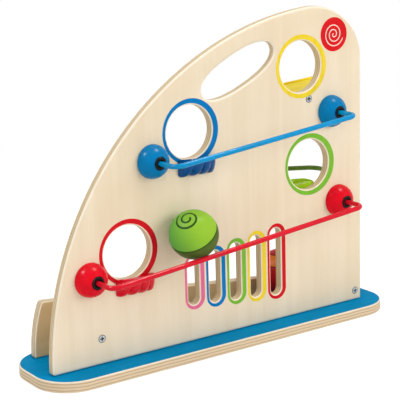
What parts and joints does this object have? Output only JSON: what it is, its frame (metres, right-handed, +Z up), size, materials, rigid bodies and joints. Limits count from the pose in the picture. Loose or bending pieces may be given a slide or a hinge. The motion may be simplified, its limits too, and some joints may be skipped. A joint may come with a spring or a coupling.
{
  "type": "wooden ball run",
  "caption": "Wooden ball run: a tall pierced panel on a board, wire rails along both faces, a low rear wall, a start shelf and painted balls that roll from side to side.",
  "frame": {"origin": "on the surface that the toy stands on, under the middle of its bounding box", "axes": "+X along the panel to its straight end, -Y out of the front face, +Z up"},
  "size_m": [0.388, 0.1146, 0.308],
  "materials": {
    "plywood": "clear satin lacquer on pale plywood, bare layered edges",
    "base_plywood_blue": "blue paint on top, clear lacquer on the layered edges",
    "dowel_wood": "bare sanded dowel",
    "shelf_yellow": "yellow satin paint",
    "wire_blue": "blue gloss paint",
    "wire_green": "dark green gloss paint",
    "wire_red": "red gloss paint",
    "bead_blue": "blue gloss lacquer",
    "bead_green": "green gloss lacquer",
    "bead_red": "red gloss lacquer",
    "bush_black": "black moulded plastic",
    "lip_blue": "dark blue moulded plastic",
    "lip_green": "bright green moulded plastic",
    "lip_red": "red moulded plastic",
    "screw_steel": "zinc-plated steel",
    "ball_green": "light green and dark green satin lacquer",
    "ball_red": "red lacquer with an orange band",
    "paint_blue": "blue satin paint on the panel",
    "paint_yellow": "yellow satin paint on the panel",
    "paint_green": "green satin paint on the panel",
    "paint_red": "red satin paint on the panel",
    "paint_pink": "pink satin paint on the panel"
  },
  "bodies": {
    "frame": {"main_panel": "plywood", "rear_wall": "plywood", "base_board": "base_plywood_blue", "spacer_left": "dowel_wood", "spacer_right": "dowel_wood", "start_shelf": "shelf_yellow", "blue_rail": "wire_blue", "green_rail": "wire_green", "red_rail": "wire_red", "blue_bead_low": "bead_blue", "blue_bead_high": "bead_blue", "green_bead_low": "bead_green", "green_bead_high": "bead_green", "red_bead_low": "bead_red", "red_bead_high": "bead_red", "blue_bush_low": "bush_black", "blue_bush_high": "bush_black", "green_bush_low": "bush_black", "green_bush_high": "bush_black", "red_bush_low": "bush_black", "red_bush_high": "bush_black", "blue_lip": "lip_blue", "green_lip": "lip_green", "red_lip": "lip_red", "front_screw_left": "screw_steel", "front_screw_right": "screw_steel", "shelf_screw": "screw_steel", "rear_screw_left": "screw_steel", "rear_screw_right": "screw_steel", "base_screw_1": "screw_steel", "base_screw_2": "screw_steel", "base_screw_3": "screw_steel", "base_screw_4": "screw_steel", "base_screw_5": "screw_steel"},
    "green_ball": {"green_ball": "ball_green"},
    "red_ball": {"red_ball": "ball_red"}
  },
  "joints": [
    {"name": "green_ball_roll", "type": "slide", "parent": "frame", "child": "green_ball", "axis": [-0.9952, 0, -0.0982], "range_m": [-0.1506, 0.0554]},
    {"name": "red_ball_roll", "type": "slide", "parent": "frame", "child": "red_ball", "axis": [0.9949, 0, -0.1011], "range_m": [-0.194, 0.0499]}
  ]
}
